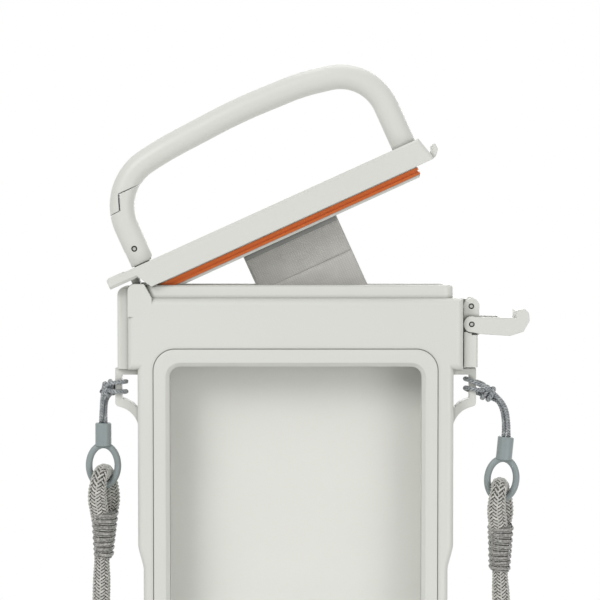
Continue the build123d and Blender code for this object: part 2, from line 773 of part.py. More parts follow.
def rope_points(side):
    # Rope: a short end stitched beside itself, over the ring's bar, down, and back along the floor
    x, z = eye_bar(side)
    low = rope_diameter / 2 + 0.4
    s = side
    foot = rope_foot(z)
    return [
        (x - s * 0.3, rope_side, foot - 0.3), (x - s * 0.2, rope_wrap, z - rope_straight),
        (x, rope_wrap, z + rope_wrap), (x, -rope_wrap, z + rope_wrap), (x, -rope_wrap, z - rope_straight),
        (x + s * 0.2, -rope_side, foot), (x + s * 1.4, -0.8, rope_waist), (s * rope_out, 0.2, rope_waist - 38.0),
        (s * (rope_out + 0.4), 1.0, 22.0), (s * (rope_out + 0.2), 8.0, 9.9), (s * (rope_out - 0.6), 20.1, low),
        (s * (rope_out - 1.2), 29.0, low), (s * (rope_out - 6.7), 38.5, low + 0.3),
        (s * (hank_half_length + 9.4), hank_middle, low + 1.2), (s * hank_half_length, hank_middle, low + 1.2),
    ]


def route_radii(points):
    # Each bend is as large as its two runs allow
    radii = []
    for a, b, c in zip(points, points[1:], points[2:]):
        before, after = Vector(*b) - Vector(*a), Vector(*c) - Vector(*b)
        half_turn = math.radians(before.get_angle(after)) / 2
        radii.append(0.45 * min(before.length, after.length) / math.tan(half_turn))
    return radii


def tube(name, points, diameter):
    radii = route_radii(points)
    path = FilletPolyline(*points, radius=radii)
    solid = sweep(Plane(path @ 0, z_dir=path % 0) * Circle(diameter / 2), path=path)
    expected = path.length * math.pi * diameter ** 2 / 4
    print(name, "length", round(path.length, 1), "volume ratio", round(solid.volume / expected, 4),
          "radii", [round(r, 1) for r in radii])
    return solid


def lanyard_cord(side):
    return tube("cord", cord_points(side), cord_diameter)


def lanyard_rope(side):
    return tube("rope", rope_points(side), rope_diameter)


def whipping(side, rope):
    # Close turns of thread that bind the rope's folded end, wider where its two strands part
    x, z = eye_bar(side)
    pitch = whip_length / whip_turns
    layers = []
    for i in range(whip_turns):
        middle = z - whip_start - pitch * (i + 0.5)
        above_foot = (middle - rope_foot(z)) / (z - rope_straight - rope_foot(z))
        spread = 2 * (rope_side + (rope_wrap - rope_side) * above_foot)
        core = SlotCenterToCenter(spread, 2 * (whip_half_width - whip_groove), rotation=90)
        turn = extrude(SlotCenterToCenter(spread, 2 * whip_half_width, rotation=90), pitch * 0.36, both=True)
        turn = chamfer(turn.edges(), whip_groove * 0.8)
        layers.append(Pos(x, 0, middle) * (extrude(core, pitch / 2, both=True) + turn))
    return layers[0] + layers[1:] - rope


def rope_hank():
    # The spare rope, folded back and forth into one bundle on the floor behind the case
    width = rope_diameter * hank_strands_wide
    height = rope_diameter * hank_strands_high
    bundle = box(
        -hank_half_length, hank_half_length, hank_middle - width / 2, hank_middle + width / 2, 0, height)
    return fillet(bundle.edges().filter_by(Axis.X), 0.8 * rope_diameter)


def build_all():
    left_rope, right_rope = lanyard_rope(-1), lanyard_rope(1)
    fixed = {
        "case_shell": case_shell(),
        "window_bezel": window_bezel(),
        "window_pane": window_pane(),
        "window_seal": window_seal(),
        "base_cushion": base_cushion(),
        "hinge_cover": hinge_cover(),
        "hinge_pin": hinge_pin(),
        "strap_anchor": strap_anchor(),
        "anchor_screws": anchor_screw_pair(),
        "lever_pin": lever_pin(),
        "latch_lever": latch_lever(),
        "link_pin": link_pin(),
        "latch_link": latch_link(),
        "pull_strap": pull_strap(),
        "left_eye": lanyard_eye(-1),
        "right_eye": lanyard_eye(1),
        "left_cord": lanyard_cord(-1),
        "right_cord": lanyard_cord(1),
        "left_rope": left_rope,
        "right_rope": right_rope,
        "left_whipping": whipping(-1, left_rope),
        "right_whipping": whipping(1, right_rope),
        "rope_hank": rope_hank(),
    }
    on_lid = {
        "lid_cap": lid_cap(),
        "lid_plug": lid_plug(),
        "lid_gasket": lid_gasket(),
        "strap_clip": strap_clip(),
        "handle": handle(),
        "handle_gate": handle_gate(),
        "gate_pin": gate_pin(),
        "gate_spring": gate_spring(),
    }
    fixed.update({name: lid_pose(shape) for name, shape in on_lid.items()})
    return fixed


if __name__ == "__main__":
    os.makedirs("parts", exist_ok=True)
    for name, shape in build_all().items():
        export_step(shape, f"parts/{name}.step")
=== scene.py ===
# Waterproof phone case: looks, soft parts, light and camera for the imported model
import json
import math
import bpy
import numpy as np
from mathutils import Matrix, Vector


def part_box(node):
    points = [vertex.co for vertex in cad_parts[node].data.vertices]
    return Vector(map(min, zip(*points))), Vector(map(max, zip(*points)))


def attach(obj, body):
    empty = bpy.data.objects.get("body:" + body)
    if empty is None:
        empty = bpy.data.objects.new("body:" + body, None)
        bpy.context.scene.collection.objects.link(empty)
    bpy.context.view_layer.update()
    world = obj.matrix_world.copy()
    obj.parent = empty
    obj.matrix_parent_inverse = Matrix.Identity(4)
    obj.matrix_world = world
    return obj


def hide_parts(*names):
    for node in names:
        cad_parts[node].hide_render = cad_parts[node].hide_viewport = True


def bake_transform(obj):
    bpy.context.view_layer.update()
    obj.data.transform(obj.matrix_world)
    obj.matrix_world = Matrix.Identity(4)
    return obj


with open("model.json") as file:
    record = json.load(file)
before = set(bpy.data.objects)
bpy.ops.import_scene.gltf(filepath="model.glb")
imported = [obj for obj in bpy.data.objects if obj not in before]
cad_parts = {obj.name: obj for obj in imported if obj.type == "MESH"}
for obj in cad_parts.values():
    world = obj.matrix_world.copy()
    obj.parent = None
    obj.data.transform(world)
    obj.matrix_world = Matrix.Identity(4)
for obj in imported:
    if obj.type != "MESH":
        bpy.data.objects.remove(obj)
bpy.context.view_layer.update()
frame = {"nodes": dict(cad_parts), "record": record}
nodes = frame["nodes"]
print("frame loaded:", len(nodes), "nodes")


cameraView = {
    "target": (0.0014, -0.006, 0.2037),  # centre of the photograph's frame
    "frameWidth": 0.192,                 # metres across the picture
    "above": 2.5,                        # degrees that the camera looks down
    "lens": 135.0,
    "sensor": 36.0,
    "clip": (0.02, 20.0),
}


def makeCamera(v):
    data = bpy.data.cameras.new("studioCamera")
    data.lens, data.sensor_width = v["lens"], v["sensor"]
    data.clip_start, data.clip_end = v["clip"]
    cam = bpy.data.objects.new("studioCamera", data)
    bpy.context.scene.collection.objects.link(cam)
    distance = v["frameWidth"] * v["lens"] / v["sensor"]
    x, y, z = v["target"]
    down = math.radians(v["above"])
    cam.location = (x, y - distance * math.cos(down), z + distance * math.sin(down))
    cam.rotation_euler = (math.radians(90) - down, 0, 0)
    bpy.context.scene.camera = cam
    bpy.context.scene.view_settings.view_transform = "Standard"


makeCamera(cameraView)
print("camera placed")


def addObject(name, verts, faces, material=None, smooth=True):
    mesh = bpy.data.meshes.new(name)
    mesh.from_pydata([tuple(p) for p in verts], [], [tuple(f) for f in faces])
    mesh.update()
    if smooth:
        mesh.polygons.foreach_set("use_smooth", [True] * len(mesh.polygons))
    obj = bpy.data.objects.new(name, mesh)
    bpy.context.scene.collection.objects.link(obj)
    if material:
        mesh.materials.append(material)
    return obj


lineFeel = {"fineness": 24, "leastGap": 1e-7, "leastSteps": 8, "firstSide": (0.13, 0.97, 0.21)}
braidFeel = {"coreSides": 8, "phase": 0.125, "lighterEvery": 4, "pathPoints": 300}


def routeLine(points):
    # Points along the smooth line that the control points draw, none of them doubled
    curve = bpy.data.curves.new("routeLine", "CURVE")
    curve.dimensions = "3D"
    spline = curve.splines.new("NURBS")
    spline.points.add(len(points) - 1)
    for p, q in zip(spline.points, points):
        p.co = (*q, 1)
    spline.order_u = 3
    spline.use_endpoint_u = True
    spline.resolution_u = lineFeel["fineness"]
    obj = bpy.data.objects.new("routeLine", curve)
    bpy.context.scene.collection.objects.link(obj)
    bpy.context.view_layer.update()
    ready = obj.evaluated_get(bpy.context.evaluated_depsgraph_get())
    mesh = bpy.data.meshes.new_from_object(ready)
    line = np.array([v.co[:] for v in mesh.vertices])
    bpy.data.objects.remove(obj)
    bpy.data.meshes.remove(mesh)
    apart = np.linalg.norm(np.diff(line, axis=0), axis=1) > lineFeel["leastGap"]
    return line[np.concatenate([[True], apart])]


def evenly(line, step):
    # The same line with points an even distance apart
    along = np.concatenate([[0], np.cumsum(np.linalg.norm(np.diff(line, axis=0), axis=1))])
    count = max(int(round(along[-1] / step)), lineFeel["leastSteps"]) + 1
    at = np.linspace(0, along[-1], count)
    return np.stack([np.interp(at, along, line[:, i]) for i in range(3)], axis=1), at


def carriedAxes(line):
    # Two axes square to the line at each point, carried along without twisting
    tangent = np.gradient(line, axis=0)
    tangent /= np.linalg.norm(tangent, axis=1)[:, None]
    side = np.cross(tangent[0], lineFeel["firstSide"])
    side /= np.linalg.norm(side)
    sides = []
    for t in tangent:
        side = side - t * np.dot(side, t)
        side /= np.linalg.norm(side)
        sides.append(side)
    sides = np.array(sides)
    return sides, np.cross(tangent, sides)


def tubeFaces(rings, around, start=0):
    faces = []
    for i in range(rings - 1):
        a, b = start + i * around, start + (i + 1) * around
        for j in range(around):
            k = (j + 1) % around
            faces.append((a + j, a + k, b + k, b + j))
    faces.append(tuple(start + j for j in reversed(range(around))))
    last = start + (rings - 1) * around
    faces.append(tuple(last + j for j in range(around)))
    return faces


def roundTube(line, radii, around):
    # Rings of a plain round tube along the line
    sideA, sideB = carriedAxes(line)
    turn = np.linspace(0, 2 * math.pi, around, endpoint=False)[None, :, None]
    out = np.cos(turn) * sideA[:, None] + np.sin(turn) * sideB[:, None]
    return line[:, None] + np.asarray(radii)[:, None, None] * out


def braidedCord(name, points, look, materials):
    # Yarns wound both ways round the line, each over two and under two, on a core painted dark as the shade
    # between them; the parts of the yarns that dip under are painted dark as shade too
    line, at = evenly(routeLine(points), look["step"])
    sideA, sideB = carriedAxes(line)
    carriers, pitch = look["carriers"], look["pitch"]
    plump = np.ones(len(at))
    for where, amount, reach in look["swells"]:
        plump += amount * np.exp(-((at - where) / reach) ** 4)
    coreSides = braidFeel["coreSides"]
    # The core takes slot 0, the painted-shade material: a dark tube for the shade seen between the yarns
    verts = [roundTube(line, look["core"] * plump, coreSides).reshape(-1, 3)]
    faces = tubeFaces(len(line), coreSides)
    slots = [0] * len(faces)
    count = len(line) * coreSides
    crossing = 2 * carriers * at / pitch
    for way in (1, -1):
        for k in range(carriers):
            theta = 2 * math.pi * (k / carriers + way * at / pitch)
            lift = np.cos(2 * math.pi * ((2 * k + way * crossing) / 4 - braidFeel["phase"]))
            r = (look["radius"] + way * look["swing"] * lift) * plump
            out = np.cos(theta)[:, None] * sideA + np.sin(theta)[:, None] * sideB
            middle = line + r[:, None] * out
            along = np.gradient(middle, axis=0)
            along /= np.linalg.norm(along, axis=1)[:, None]
            w = (look["yarnWidth"] / 2 * plump)[:, None] * np.cross(along, out)
            h = look["yarnHeight"] / 2 * out
            verts.append(np.stack([middle + w, middle + h, middle - w, middle - h], axis=1).reshape(-1, 3))
            yarnFaces = tubeFaces(len(line), 4, count)
            faces += yarnFaces
            lighter = (k + (way > 0)) % braidFeel["lighterEvery"] == 0
            # Where a yarn dips under, it takes slot 0 and is painted dark as the shade it lies in
            shade = np.where(way * lift > look["gapShade"], 2 if lighter else 1, 0)
            slots += np.repeat(shade[:-1], 4).tolist() + [0, 0]
            count += len(line) * 4
    obj = addObject(name, np.concatenate(verts), faces)
    for m in materials:
        obj.data.materials.append(m)
    obj.data.polygons.foreach_set("material_index", slots)
    pathCount = min(len(line), braidFeel["pathPoints"])
    chosen = np.unique(np.linspace(0, len(line) - 1, pathCount).round().astype(int))
    return obj, [tuple(p) for p in line[chosen]], float(at[-1])


def newMaterial(name, colour, roughness):
    mat = bpy.data.materials.new(name)
    mat.use_nodes = True
    shader = mat.node_tree.nodes["Principled BSDF"]
    shader.inputs["Base Color"].default_value = (*colour, 1)
    shader.inputs["Roughness"].default_value = roughness
    return mat, mat.node_tree, shader


shadeFeel = {"noiseRange": (0.3, 0.7), "edgeSamples": 4, "seamShadeSamples": 6}


def noiseNode(tree, scale, detail):
    place = tree.nodes.new("ShaderNodeTexCoord")
    noise = tree.nodes.new("ShaderNodeTexNoise")
    noise.inputs["Scale"].default_value = scale
    noise.inputs["Detail"].default_value = detail
    tree.links.new(place.outputs["Object"], noise.inputs["Vector"])
    return noise


def mathNode(tree, operation, *values):
    # Each value is a plain number or the output of another node
    node = tree.nodes.new("ShaderNodeMath")
    node.operation = operation
    for socket, value in zip(node.inputs, values):
        if isinstance(value, (int, float)):
            socket.default_value = value
        else:
            tree.links.new(value, socket)
    return node.outputs[0]


def mixShaders(tree, factor, first, second, output):
    mix = tree.nodes.new("ShaderNodeMixShader")
    for socket, value in zip(mix.inputs, (factor, first, second)):
        tree.links.new(value, socket)
    tree.links.new(mix.outputs[0], tree.nodes[output].inputs["Surface"])


def spread(tree, source, low, high):
    ramp = tree.nodes.new("ShaderNodeMapRange")
    ramp.inputs["From Min"].default_value, ramp.inputs["From Max"].default_value = shadeFeel["noiseRange"]
    ramp.inputs["To Min"].default_value = low
    ramp.inputs["To Max"].default_value = high
    tree.links.new(source, ramp.inputs["Value"])
    return ramp.outputs["Result"]


def colourBetween(tree, factor, first, second):
    mix = tree.nodes.new("ShaderNodeMix")
    mix.data_type = "RGBA"
    mix.inputs[6].default_value = (*first, 1)
    mix.inputs[7].default_value = (*second, 1)
    tree.links.new(factor, mix.inputs[0])
    return mix.outputs[2]


def bumpFrom(tree, shader, height, depth, strength, edge=0.0):
    bump = tree.nodes.new("ShaderNodeBump")
    bump.inputs["Distance"].default_value = depth
    bump.inputs["Strength"].default_value = strength
    tree.links.new(height, bump.inputs["Height"])
    if edge:
        soften = tree.nodes.new("ShaderNodeBevel")
        soften.samples = shadeFeel["edgeSamples"]
        soften.inputs["Radius"].default_value = edge
        tree.links.new(soften.outputs["Normal"], bump.inputs["Normal"])
    tree.links.new(bump.outputs["Normal"], shader.inputs["Normal"])


def paintedSeamShade(tree, shader, plain, seamShade, reach):
    # Painted shade: the colour is darkened in narrow gaps and hollows, where shade falls, the same wherever
    # the light stands
    hollow = tree.nodes.new("ShaderNodeAmbientOcclusion")
    hollow.samples = shadeFeel["seamShadeSamples"]
    hollow.inputs["Distance"].default_value = reach
    mix = tree.nodes.new("ShaderNodeMix")
    mix.data_type = "RGBA"
    mix.inputs[6].default_value = (*seamShade, 1)
    tree.links.new(hollow.outputs["AO"], mix.inputs[0])
    tree.links.new(plain, mix.inputs[7])
    tree.links.new(mix.outputs[2], shader.inputs["Base Color"])


mouldFeel = {"glossDown": 0.06, "glossUp": 0.07, "rubScale": 4.0, "grainDepth": 0.00004}


def mouldedPlastic(name, v):
    # Fine moulded grain, faint clouding of the colour, painted shade in narrow gaps, soft edges and uneven
    # gloss
    mat, tree, shader = newMaterial(name, v["colour"], v["roughness"])
    clouds = noiseNode(tree, v["cloudScale"], 2.0)
    plain = colourBetween(tree, spread(tree, clouds.outputs["Fac"], 0, 1), v["colour"], v["second"])
    # Painted shade darkens the colour in narrow gaps and hollows
    paintedSeamShade(tree, shader, plain, v["seamShade"], v["seamShadeReach"])
    rubs = noiseNode(tree, v["cloudScale"] * mouldFeel["rubScale"], 4.0)
    low, high = v["roughness"] - mouldFeel["glossDown"], v["roughness"] + mouldFeel["glossUp"]
    tree.links.new(spread(tree, rubs.outputs["Fac"], low, high), shader.inputs["Roughness"])
    grain = noiseNode(tree, v["grainScale"], 2.0)
    bumpFrom(tree, shader, grain.outputs["Fac"], mouldFeel["grainDepth"], v["grain"], v["edge"])
    shader.inputs["Specular IOR Level"].default_value = v["specular"]
    return mat


def clearPane(name, v):
    # Clear sheet: shadow rays pass, so that the inside is lit through it
    mat, tree, shader = newMaterial(name, v["colour"], v["roughness"])
    shader.inputs["Transmission Weight"].default_value = 1.0
    shader.inputs["IOR"].default_value = v["ior"]
    smears = noiseNode(tree, v["smearScale"], 3.0)
    tree.links.new(spread(tree, smears.outputs["Fac"], 0.0, v["smear"]), shader.inputs["Roughness"])
    through = tree.nodes.new("ShaderNodeBsdfTransparent")
    through.inputs["Color"].default_value = (*v["shadow"], 1)
    shadow = tree.nodes.new("ShaderNodeLightPath").outputs["Is Shadow Ray"]
    mixShaders(tree, shadow, shader.outputs[0], through.outputs[0], "Material Output")
    return mat


def metalPin(name, v):
    # Worn steel, painted dark in a ring where the pin meets its hole, as the shade in that gap
    mat, tree, shader = newMaterial(name, v["colour"], v["roughness"])
    place = tree.nodes.new("ShaderNodeTexCoord")
    rings = []
    for x, z in v["centres"]:
        offset = tree.nodes.new("ShaderNodeVectorMath")
        offset.operation = "SUBTRACT"
        offset.inputs[1].default_value = (x, 0, z)
        flat = tree.nodes.new("ShaderNodeVectorMath")
        flat.operation = "MULTIPLY"
        flat.inputs[1].default_value = (1, 0, 1)
        far = tree.nodes.new("ShaderNodeVectorMath")
        far.operation = "LENGTH"
        tree.links.new(place.outputs["Object"], offset.inputs[0])
        tree.links.new(offset.outputs["Vector"], flat.inputs[0])
        tree.links.new(flat.outputs["Vector"], far.inputs[0])
        rings.append(far.outputs["Value"])
    nearest = rings[0]
    for other in rings[1:]:
        nearest = mathNode(tree, "MINIMUM", nearest, other)
    edge = tree.nodes.new("ShaderNodeMapRange")
    edge.inputs["From Min"].default_value, edge.inputs["From Max"].default_value = v["ring"]
    tree.links.new(nearest, edge.inputs["Value"])
    # Painted shade: a dark ring round each pin where it sits in its hole
    ringShaded = colourBetween(tree, edge.outputs["Result"], v["colour"], v["ringShade"])
    tree.links.new(ringShaded, shader.inputs["Base Color"])
    shader.inputs["Metallic"].default_value = v["metallic"]
    turned = noiseNode(tree, v["scratchScale"], 2.0)
    low, high = v["roughness"] - v["glossDown"], v["roughness"] + v["glossUp"]
    tree.links.new(spread(tree, turned.outputs["Fac"], low, high), shader.inputs["Roughness"])
    bumpFrom(tree, shader, turned.outputs["Fac"], v["scratchDepth"], v["scratch"])
    return mat


def softRubber(name, v):
    mat, tree, shader = newMaterial(name, v["colour"], v["roughness"])
    dust = noiseNode(tree, v["dustScale"], 4.0)
    tree.links.new(
        colourBetween(tree, spread(tree, dust.outputs["Fac"], 0, 1), v["colour"], v["dusty"]),
        shader.inputs["Base Color"])
    bumpFrom(tree, shader, dust.outputs["Fac"], v["dustDepth"], v["dust"])
    shader.inputs["Sheen Weight"].default_value = v["sheen"]
    return mat


def wovenTape(name, v):
    # Ribbed weave: fine ribs across the tape, crossed by finer yarns along it
    mat, tree, shader = newMaterial(name, v["colour"], v["roughness"])
    place = tree.nodes.new("ShaderNodeTexCoord")
    waves = []
    for direction, scale in (("Y", v["ribScale"]), ("X", v["yarnScale"])):
        wave = tree.nodes.new("ShaderNodeTexWave")
        wave.bands_direction = direction
        wave.inputs["Scale"].default_value = scale
        wave.inputs["Distortion"].default_value = v["uneven"]
        wave.inputs["Detail"].default_value = 1.0
        tree.links.new(place.outputs["UV"], wave.inputs["Vector"])
        waves.append(wave.outputs["Fac"])
    weave = mathNode(tree, "MULTIPLY", waves[0], waves[1])
    patches = noiseNode(tree, v["patchScale"], 3.0)
    shade = colourBetween(tree, weave, v["dark"], v["colour"])
    tint = tree.nodes.new("ShaderNodeMix")
    tint.data_type = "RGBA"
    tint.blend_type = "MULTIPLY"
    tint.inputs[0].default_value = v["patchShare"]
    tree.links.new(shade, tint.inputs[6])
    tree.links.new(colourBetween(tree, patches.outputs["Fac"], v["patchLow"], v["patchHigh"]), tint.inputs[7])
    tree.links.new(tint.outputs[2], shader.inputs["Base Color"])
    bumpFrom(tree, shader, weave, v["weaveDepth"], v["weave"])
    shader.inputs["Sheen Weight"].default_value = v["sheen"]
    return mat


yarnFeel = {"fibreScale": 3.0, "fibreDepth": 0.00005, "fibre": 0.7, "sheen": 0.3, "sheenRoughness": 0.5}


def yarn(name, v):
    # Spun yarn: fine fibres, flecks of lighter thread, a soft sheen and, where a gap colour is given, painted
    # shade in narrow gaps
    mat, tree, shader = newMaterial(name, v["colour"], v["roughness"])
    flecks = noiseNode(tree, v["fleckScale"], 3.0)
    plain = colourBetween(tree, spread(tree, flecks.outputs["Fac"], 0, 1), v["dark"], v["colour"])
    # Painted shade: the gap colour darkens the narrow gaps between strands
    if "gap" in v:
        paintedSeamShade(tree, shader, plain, v["gap"], v["gapReach"])
    else:
        tree.links.new(plain, shader.inputs["Base Color"])
    fibres = noiseNode(tree, v["fleckScale"] * yarnFeel["fibreScale"], 3.0)
    bumpFrom(tree, shader, fibres.outputs["Fac"], yarnFeel["fibreDepth"], yarnFeel["fibre"])
    shader.inputs["Sheen Weight"].default_value = yarnFeel["sheen"]
    shader.inputs["Sheen Roughness"].default_value = yarnFeel["sheenRoughness"]
    return mat


pinCentres = []
for node in ("lever_pin", "link_pin", "gate_pin"):
    low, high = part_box(node)
    pinCentres.append(((low[0] + high[0]) / 2, (low[2] + high[2]) / 2))
finishes = {
    # The seam colours of the plastics are painted shade for their narrow gaps
    "shell_plastic": mouldedPlastic("shellPlastic", {
        "colour": (0.705, 0.712, 0.672), "second": (0.68, 0.685, 0.64), "roughness": 0.4, "cloudScale": 14.0,
        "grainScale": 5200.0, "grain": 0.2, "edge": 0.00035, "specular": 0.5, "seamShade": (0.14, 0.136, 0.115),
        "seamShadeReach": 0.0013}),
    "lanyard_plastic": mouldedPlastic("lanyardPlastic", {
        "colour": (0.285, 0.33, 0.33), "second": (0.25, 0.29, 0.292), "roughness": 0.42, "cloudScale": 90.0,
        "grainScale": 6000.0, "grain": 0.35, "edge": 0.0002, "specular": 0.5, "seamShade": (0.10, 0.115, 0.12),
        "seamShadeReach": 0.001}),
    "dark_plastic": mouldedPlastic("darkPlastic", {
        "colour": (0.30, 0.30, 0.285), "second": (0.26, 0.26, 0.25), "roughness": 0.5, "cloudScale": 60.0,
        "grainScale": 5000.0, "grain": 0.3, "edge": 0.0002, "specular": 0.4, "seamShade": (0.08, 0.08, 0.075),
        "seamShadeReach": 0.001}),
    "clear_pane": clearPane("clearPane", {
        "colour": (0.985, 0.985, 0.98), "roughness": 0.03, "ior": 1.4, "smearScale": 30.0, "smear": 0.05,
        "shadow": (0.97, 0.97, 0.965)}),
    "gasket_rubber": softRubber("gasketRubber", {
        "colour": (0.80, 0.165, 0.016), "dusty": (0.75, 0.155, 0.02), "roughness": 0.5, "dustScale": 420.0,
        "dustDepth": 0.00002, "dust": 0.12, "sheen": 0.05}),
    "seal_rubber": softRubber("sealRubber", {
        "colour": (0.33, 0.33, 0.31), "dusty": (0.26, 0.26, 0.25), "roughness": 0.7, "dustScale": 500.0,
        "dustDepth": 0.00002, "dust": 0.12, "sheen": 0.15}),
    # The pin's ring colour is painted shade round each pin's end
    "steel_pin": metalPin("steelPin", {
        "colour": (0.66, 0.66, 0.64), "ringShade": (0.045, 0.045, 0.04), "ring": (0.00046, 0.00056),
        "metallic": 0.6, "roughness": 0.3, "glossDown": 0.08, "glossUp": 0.1, "scratchScale": 2600.0,
        "scratchDepth": 0.00002, "scratch": 0.3, "centres": pinCentres}),
    "strap_fabric": wovenTape("strapFabric", {
        "colour": (0.62, 0.612, 0.58), "dark": (0.50, 0.493, 0.465), "roughness": 0.85, "ribScale": 560.0,
        "yarnScale": 420.0, "uneven": 0.6, "weaveDepth": 0.00008, "weave": 0.6, "sheen": 0.25,
        "patchScale": 260.0, "patchShare": 0.5, "patchLow": (0.8, 0.8, 0.8),
        "patchHigh": (1.15, 1.14, 1.12)}),
    # The cord's gap colour is painted shade between its strands
    "cord_fabric": yarn("cordYarn", {
        "colour": (0.42, 0.445, 0.46), "dark": (0.26, 0.28, 0.295), "roughness": 0.5, "fleckScale": 1500.0,
        "gap": (0.03, 0.036, 0.042), "gapReach": 0.001}),
    "rope_fabric": yarn("ropeYarn", {
        "colour": (0.60, 0.592, 0.55), "dark": (0.46, 0.454, 0.42), "roughness": 0.65, "fleckScale": 1400.0}),
}
ropeLight = yarn("ropeLightYarn", {
    "colour": (0.72, 0.71, 0.66), "dark": (0.56, 0.552, 0.512), "roughness": 0.6, "fleckScale": 1400.0})
bindingYarn = yarn("bindingYarn", {
    "colour": (0.50, 0.492, 0.46), "dark": (0.14, 0.138, 0.13), "roughness": 0.7, "fleckScale": 1300.0})
# Painted shade: a dark yarn material for the core and the under parts of the rope's yarns
ropeGapShade = yarn("ropeGapShadeYarn", {
    "colour": (0.22, 0.217, 0.20), "dark": (0.13, 0.128, 0.118), "roughness": 0.8, "fleckScale": 1400.0})
# Its gap colour is painted shade between the strands
cordLight = yarn("cordLightYarn", {
    "colour": (0.56, 0.585, 0.59), "dark": (0.38, 0.40, 0.41), "roughness": 0.5, "fleckScale": 1500.0,
    "gap": (0.04, 0.046, 0.052), "gapReach": 0.001})
# Painted shade: a dark yarn material for the core and the under parts of the cord's yarns
cordGapShade = yarn("cordGapShadeYarn", {
    "colour": (0.10, 0.115, 0.13), "dark": (0.05, 0.06, 0.07), "roughness": 0.7, "fleckScale": 1500.0})


def braidShade(name, v):
    # Woven chevrons drawn round a plain rope from its own coordinates, with painted shade in the grooves
    # between yarns, for the rope that is put away
    mat, tree, shader = newMaterial(name, v["colour"], v["roughness"])
    place = tree.nodes.new("ShaderNodeTexCoord")
    parts = tree.nodes.new("ShaderNodeSeparateXYZ")
    tree.links.new(place.outputs["UV"], parts.inputs[0])
    column = mathNode(tree, "PINGPONG", mathNode(tree, "MULTIPLY", parts.outputs[0], v["columns"]), 1.0)
    along = mathNode(tree, "MULTIPLY", parts.outputs[1], v["rows"])
    row = mathNode(tree, "FRACT", mathNode(tree, "ADD", along, column))
    height = mathNode(tree, "PINGPONG", mathNode(tree, "MULTIPLY", row, 2.0), 1.0)
    # Painted shade: the gap colour darkens the low parts of the chevrons
    tree.links.new(colourBetween(tree, height, v["gap"], v["colour"]), shader.inputs["Base Color"])
    bumpFrom(tree, shader, height, v["depth"], v["relief"])
    return mat


# Its gap colour is painted shade in the grooves
hankShade = braidShade("hankBraid", {
    "colour": (0.80, 0.79, 0.735), "gap": (0.14, 0.138, 0.13), "columns": 10.0, "rows": 930.0,
    "roughness": 0.7, "depth": 0.0003, "relief": 0.9})
for part in frame["record"]["subparts"]:
    obj = nodes[part["node"]]
    for place in obj.material_slots:
        place.material = finishes[part["material_slot"]]
print("materials set")


# Thin doubled cords and the braided lanyard rope, each laid along its own route
thinCord = {
    "radius": 0.00058, "swing": 0.00004, "core": 0.0005, "carriers": 4, "pitch": 0.0036, "step": 0.00014,
    "yarnWidth": 0.0006, "yarnHeight": 0.00026, "diameter": 0.0013,
    "swells": (), "gapShade": -0.5,
}
leftCordRoute = [
    (-0.0629, 0.0, 0.1637), (-0.0626, -0.0007, 0.1695), (-0.0621, -0.0012, 0.1742),
    (-0.0606, -0.0024, 0.1762), (-0.0595, -0.0042, 0.1768), (-0.0548, -0.0042, 0.1774),
    (-0.0548, 0.0042, 0.1768), (-0.0598, 0.0042, 0.176), (-0.0612, 0.0, 0.1753),
    (-0.0598, -0.0042, 0.1742), (-0.0548, -0.0042, 0.1741), (-0.0548, 0.0042, 0.1736),
    (-0.059, 0.0042, 0.1732), (-0.0604, 0.0014, 0.1729), (-0.0618, 0.0008, 0.1698),
    (-0.0615, 0.0, 0.1637)]
rightCordRoute = [
    (0.06885, 0.0, 0.15912), (0.0688, -0.0006, 0.1642), (0.0676, -0.001, 0.1698),
    (0.0632, -0.0016, 0.174), (0.0604, -0.0042, 0.1758), (0.0548, -0.0042, 0.1784),
    (0.0548, 0.0042, 0.1776), (0.0602, 0.0042, 0.1764), (0.0614, 0.0, 0.1756),
    (0.0602, -0.0042, 0.1742), (0.0548, -0.0042, 0.1756), (0.0548, 0.0042, 0.1744),
    (0.0602, 0.0042, 0.1726), (0.0628, 0.0013, 0.1718), (0.0662, 0.001, 0.1704),
    (0.0677, 0.0006, 0.164), (0.06725, 0.0, 0.15928)]
lanyardRope = {
    "radius": 0.00242, "swing": 0.0002, "core": 0.00222, "carriers": 10, "pitch": 0.0108, "step": 0.00024,
    "yarnWidth": 0.00066, "yarnHeight": 0.00066, "diameter": 0.005, "gapShade": -0.3,
    "swells": ((0.003, -0.17, 0.009), (0.0197, 0.05, 0.006), (0.0305, -0.07, 0.005), (0.041, 0.07, 0.006),
               (0.0535, -0.17, 0.009)),
}
leftRopeRoute = [
    (-0.0618, 0.0024, 0.1232), (-0.0604, 0.0038, 0.1345), (-0.06, 0.0042, 0.1395), (-0.0617, 0.0042, 0.1476),
    (-0.063, -0.0042, 0.1476), (-0.0642, -0.0042, 0.1405), (-0.0631, -0.0036, 0.1345),
    (-0.0624, -0.0026, 0.1212), (-0.0636, -0.0008, 0.088), (-0.0646, 0.0002, 0.05),
    (-0.065, 0.001, 0.022), (-0.0648, 0.008, 0.0099), (-0.064, 0.0201, 0.0032), (-0.0634, 0.029, 0.0032),
    (-0.0579, 0.0385, 0.0034), (-0.0484, 0.044, 0.0041), (-0.039, 0.044, 0.0041)]
rightRopeRoute = [
    (0.0666, 0.0024, 0.1188), (0.0674, 0.0038, 0.1301), (0.0683, 0.0042, 0.1352), (0.0666, 0.0042, 0.1432),
    (0.0654, -0.0042, 0.1432), (0.0645, -0.0042, 0.1362), (0.0655, -0.0036, 0.1301),
    (0.0659, -0.0026, 0.11679), (0.06749, -0.0008, 0.088), (0.0646, 0.0002, 0.05),
    (0.065, 0.001, 0.022), (0.0648, 0.008, 0.0099), (0.064, 0.0201, 0.0032), (0.0634, 0.029, 0.0032),
    (0.0579, 0.0385, 0.0034), (0.0484, 0.044, 0.0041), (0.039, 0.044, 0.0041)]


